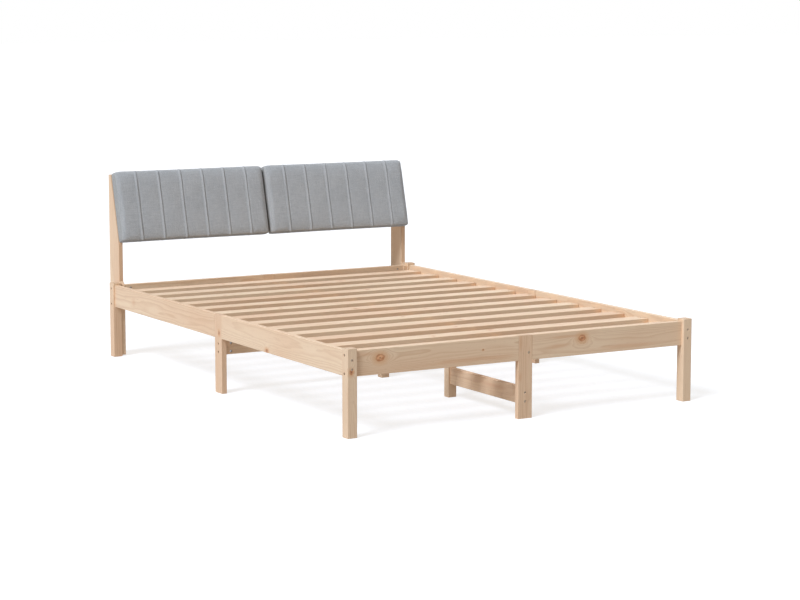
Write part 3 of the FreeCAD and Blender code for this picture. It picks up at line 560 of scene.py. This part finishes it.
def rounded_block():
    """The pad before it swells. Its top is well rounded, its ends and its lower edge less, its
    front falls off towards every edge, and its sides pull in a little between the corners."""
    shape = bmesh.new()
    bmesh.ops.create_cube(shape, size=2.0)
    bmesh.ops.subdivide_edges(shape, edges=shape.edges[:], cuts=39, use_grid_fill=True)
    half = Vector((HALF_WIDTH, DEPTH / 2, HALF_HEIGHT))
    for point in shape.verts:
        at = Vector(a * b for a, b in zip(point.co, half))
        soft = [radii[a > 0] for a, radii in zip(at, ROUNDING)]
        core = Vector(max(r - b, min(b - r, a)) for a, b, r in zip(at, half, soft))
        out = Vector((a - c) / r for a, c, r in zip(at, core, soft))
        if out.length > 0:
            at = core + Vector(a * r for a, r in zip(out.normalized(), soft))
        at.x *= 1 - ENDS_PULL_IN * max(0.0, 1 - (at.z / HALF_HEIGHT) ** 2)
        at.z *= 1 - EDGES_PULL_IN * max(0.0, 1 - (at.x / HALF_WIDTH) ** 2)
        edgewards = max(0.0, abs(at.z) + NEAR_EDGE - HALF_HEIGHT) / NEAR_EDGE
        endwards = max(0.0, abs(at.x) + NEAR_END - HALF_WIDTH) / NEAR_END
        fall = (FALL_AT_TOP if at.z > 0 else FALL_AT_BOTTOM) * edgewards ** 2
        fall += FALL_AT_ENDS * endwards ** 2
        at.y += fall * max(0.0, -at.y * 2 / DEPTH)
        point.co = at + Vector((0, BEHIND - DEPTH / 2, 0))
    mesh = bpy.data.meshes.new("pad")
    shape.to_mesh(mesh)
    shape.free()
    return mesh


def applied(piece):
    """The mesh with the modifiers worked in and taken off."""
    bpy.context.view_layer.update()
    worked = bpy.data.meshes.new_from_object(
        piece.evaluated_get(bpy.context.evaluated_depsgraph_get()))
    piece.modifiers.clear()
    piece.data = worked


def tuck_offset(x):
    """How far a place is from the nearest tuck."""
    number = min(TUCKS - 1, max(0, round((x - FIRST_TUCK) / CHANNEL)))
    return x - FIRST_TUCK - number * CHANNEL


def sway(x, z):
    """The tucks don't run quite straight."""
    return 0.0005 * noise.noise(Vector((x * 10, z * 14, 0.3)))


def stitch(shape, start, end, sunk):
    """One stitch of thick thread, whose two ends dive into the cover."""
    along = (end - start).normalized()
    across = along.cross(sunk).normalized()
    hoops = []
    for share in STITCH_SHARES:
        lift = math.sin(math.pi * share) ** 0.6
        centre = start.lerp(end, share) + sunk * (DIVE - ARCH * lift)
        thick = THREAD_RADIUS * (0.55 + 0.45 * lift)
        ring = []
        for step in range(THREAD_SIDES):
            turn = math.tau * step / THREAD_SIDES
            off = across * (thick * math.cos(turn)) + sunk * (thick * math.sin(turn))
            ring.append(shape.verts.new(centre + off))
        hoops.append(ring)
    for one, two in zip(hoops, hoops[1:]):
        for step in range(THREAD_SIDES):
            after = (step + 1) % THREAD_SIDES
            shape.faces.new((one[step], one[after], two[after], two[step]))
    shape.faces.new(hoops[0][::-1])
    shape.faces.new(hoops[-1])


def stitching(side, pad):
    """Two rows of stitches hold every tuck, one at each foot."""
    cover = BVHTree.FromPolygons([point.co for point in pad.data.vertices],
                                 [face.vertices for face in pad.data.polygons])
    shape = bmesh.new()
    for number in range(TUCKS):
        for row in STITCH_ROWS:
            for step in range(-STITCHES_EACH_WAY, STITCHES_EACH_WAY + 1):
                ends = []
                for z in (step * STITCH_PITCH - STITCH_HALF, step * STITCH_PITCH + STITCH_HALF):
                    x = FIRST_TUCK + number * CHANNEL + row
                    x += sway(x, z)
                    ends.append(cover.ray_cast(Vector((x, -0.1, z)), Y)[0])
                stitch(shape, ends[0], ends[1], Y)
    bmesh.ops.recalc_face_normals(shape, faces=shape.faces[:])
    mesh = bpy.data.meshes.new("stitches")
    shape.to_mesh(mesh)
    shape.free()
    for face in mesh.polygons:
        face.use_smooth = True
    mesh.materials.append(thread)
    rows = placed("cushion_" + side + "_stitching", mesh)
    rows.matrix_world = pad.matrix_world
    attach(rows, "root")


def cushion(side, centre):
    """One cushion's cover with its stitches, seated on the leaning edge of the posts."""
    pad = placed("cushion_" + side + "_cover", rounded_block())
    post_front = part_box("leg_head_left")[0][1] + POST_SETBACK
    at = Vector((centre, post_front, LEAN_START)) + lean_up * CUSHION_MIDDLE_ALONG
    pad.matrix_world = Matrix.Translation(at) @ Matrix.Rotation(-LEAN, 4, "X")
    remesh = pad.modifiers.new("remesh", "REMESH")
    remesh.mode = "VOXEL"
    remesh.voxel_size = VOXEL
    applied(pad)

    # The cover is held along the tucks and behind while the padding swells
    held = pad.vertex_groups.new(name="held")
    still = [point.index for point in pad.data.vertices
             if abs(tuck_offset(point.co.x)) < VOXEL * 0.6 or point.co.y > STILL_FROM]
    held.add(still, 1.0, "REPLACE")
    before = [point.co.copy() for point in pad.data.vertices]
    outward = [point.normal.copy() for point in pad.data.vertices]
    cloth = pad.modifiers.new("swell", "CLOTH")
    cloth.settings.use_pressure = True
    cloth.settings.uniform_pressure_force = 4
    cloth.settings.effector_weights.gravity = 0
    cloth.settings.vertex_group_mass = "held"
    cloth.point_cache.frame_start = 1
    cloth.point_cache.frame_end = CLOTH_FRAMES
    for frame_number in range(1, CLOTH_FRAMES + 1):
        bpy.context.scene.frame_set(frame_number)
    applied(pad)
    bpy.context.scene.frame_set(1)
    for point, start, out in zip(pad.data.vertices, before, outward):
        move = point.co - start
        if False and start.y < STILL_FROM:
            move = out * QUICK_SWELL * abs(math.sin(math.pi * tuck_offset(start.x) / CHANNEL))
        ways = (math.copysign(1, start.x), -1, math.copysign(1, start.z))
        point.co = start + Vector(way * max(-inward, min(outward_most, way * a))
                                  for a, way, (inward, outward_most) in zip(move, ways, SWELL))
    smooth = pad.modifiers.new("fine", "SUBSURF")
    smooth.levels = smooth.render_levels = 1
    applied(pad)

    # Tucks: the rows of the mesh close up on them, then a fold stands up between two stitch lines
    stretch = (CHANNEL / 2 - TUCK_REACH / 2) / (CHANNEL / 2 - TUCK_REACH)
    for point in pad.data.vertices:
        off = tuck_offset(point.co.x)
        if abs(off) < TUCK_REACH:
            point.co.x -= off * 0.5
        elif abs(off) < CHANNEL / 2:
            kept = CHANNEL / 2 - (CHANNEL / 2 - abs(off)) * stretch
            point.co.x += math.copysign(kept, off) - off
    outward = [point.normal.copy() for point in pad.data.vertices]
    for point, out in zip(pad.data.vertices, outward):
        if point.co.y < TUCKS_FROM:
            off = tuck_offset(point.co.x) - sway(point.co.x, point.co.z)
            fold = max(0.0, min(1.0, (off + LEFT_FOOT) / LEFT_FLANK,
                                (RIGHT_FOOT - off) / RIGHT_FLANK))
            fold = fold * fold * (3 - 2 * fold)
            over_edge = max(0.3, min(1.0, -out.y * 1.3))
            pulled = math.exp(-((off - 0.0050) / 0.0022) ** 2)
            beside = math.exp(-((abs(off) - 0.0130) / 0.0060) ** 2)
            gather = math.sin(point.co.z * 430 + noise.noise(point.co * 22) * 5) * beside
            rise = (fold * TUCK_HEIGHT - pulled * PULL_DEPTH) * over_edge + gather * GATHER_HEIGHT
            point.co += out * rise
        elif point.co.y > BACK_FROM:
            aside = max(abs(point.co.x) - RIM_OUT, abs(point.co.z) - RIM_UP)
            share = max(0.0, min(1.0, 1 - aside / RIM_ROUND))
            point.co.y -= BOARD_SUNK * share * share * (3 - 2 * share)

    for face in pad.data.polygons:
        face.use_smooth = True
    pad.data.materials.clear()
    pad.data.materials.append(fabric)
    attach(pad, "root")
    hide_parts("cushion_" + side)
    stitching(side, pad)


post_outer_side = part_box("headboard_post_left")[0][0]
cushion_middle = post_outer_side + CUSHION_MIDDLE_ASIDE
cushion("left", cushion_middle)
cushion("right", -cushion_middle)


# Dowels, bolts and other hardware
# Beech dowels in the joints. Zinc-plated cap bolts sunk in the legs, barrel nuts across the
# rails, countersunk wood screws, angle brackets and a plate over the joint of the beam.

beech, tree = empty_material("beech")
place = laid(tree, "TexCoord", {})["Object"]
fleck = ramp(tree, speckle(tree, place, 700.0, 2.0), 0.55, 0.75)
colour = tinted(tree, speckle(tree, place, 60.0), (0.66, 0.46, 0.30, 1), (0.56, 0.36, 0.22, 1))
colour = tinted(tree, sums(tree, "MULTIPLY", fleck, 0.4), colour, (0.33, 0.18, 0.10, 1))
surfaced(tree, colour, ramp(tree, fleck, 0.0, 1.0, 0.5, 0.65), fleck, 0.3, 0.0003, {})
finished("dowels", beech)


def plated(name, bright, dark, dull):
    """Zinc plating: small crystals and faint marks from the barrel."""
    metal, tree = empty_material(name)
    place = laid(tree, "TexCoord", {})["Object"]
    crystal = laid(tree, "TexVoronoi", {"Vector": place, "Scale": 900.0})[0]
    smear = speckle(tree, place, 240.0, 3.0, 0.65)
    colour = tinted(tree, ramp(tree, smear, 0.3, 0.75), bright, dark)
    colour = tinted(tree, ramp(tree, crystal, 0.2, 0.8, 0.0, 0.25), colour, dark)
    surfaced(tree, colour, ramp(tree, smear, 0.25, 0.75, dull, dull + 0.18), smear, 0.15, 0.0002,
             {"Metallic": 1.0})
    return metal


finished("bolts", plated("zinc_bolt", (0.60, 0.48, 0.37, 1), (0.34, 0.26, 0.19, 1), 0.42))
finished("barrel_nuts", plated("zinc_nut", (0.55, 0.56, 0.58, 1), (0.36, 0.37, 0.39, 1), 0.30))
finished("wood_screws", plated("zinc_screw", (0.66, 0.58, 0.40, 1), (0.44, 0.37, 0.24, 1), 0.30))
for node, name in (("beam_plate", "zinc_plate"), ("angle_brackets", "zinc_bracket")):
    finished(node, plated(name, (0.64, 0.65, 0.66, 1), (0.46, 0.47, 0.49, 1), 0.34))


# Driver crosses
# Every wood screw has a cross in its head for the driver, turned as it happened to stop. The
# heads are the flat rounds among the faces of the screws. Each cross is a thin slab set flush
# into the head and coloured near-black, with painted shade for the depth of the recess.

HEAD_RADIUS = 0.004
LEEWAY = 0.0003
ARM = 0.0020
ARM_HALF_WIDTH = 0.0004
PROUD = 0.00003
SUNK = 0.0003

screws = bmesh.new()
screws.from_mesh(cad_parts["wood_screws"].data)
crosses = bmesh.new()
seen = set()
for first in screws.verts:
    if first.index in seen:
        continue
    seen.add(first.index)
    together = [first]
    for point in together:
        for edge in point.link_edges:
            other = edge.other_vert(point)
            if other.index not in seen:
                seen.add(other.index)
                together.append(other)
    middle = sum((point.co for point in together), Vector()) / len(together)
    if any(abs((point.co - middle).length - HEAD_RADIUS) > LEEWAY for point in together):
        continue
    out = first.link_faces[0].normal
    arm = Matrix.Rotation(first.index, 3, out) @ out.orthogonal().normalized()
    outline = []
    for quarter in range(4):
        side = out.cross(arm)
        for far, aside in ((ARM_HALF_WIDTH, -ARM_HALF_WIDTH), (ARM, -ARM_HALF_WIDTH),
                           (ARM, ARM_HALF_WIDTH)):
            outline.append(middle + arm * far + side * aside)
        arm = side
    above = [crosses.verts.new(corner + out * PROUD) for corner in outline]
    below = [crosses.verts.new(corner - out * SUNK) for corner in outline]
    crosses.faces.new(above)
    crosses.faces.new(below[::-1])
    for step in range(len(outline)):
        after = (step + 1) % len(outline)
        crosses.faces.new((above[step], below[step], below[after], above[after]))
mesh = bpy.data.meshes.new("crosses")
crosses.to_mesh(mesh)
crosses.free()
screws.free()
# Near-black: painted shade for the depth of the recess
mesh.materials.append(plated("recess_painted_shade", (0.10, 0.085, 0.06, 1), (0.045, 0.038, 0.028, 1), 0.55))
screw_crosses = placed("screw_crosses", mesh)
screw_crosses.matrix_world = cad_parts["wood_screws"].matrix_world
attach(screw_crosses, "root")
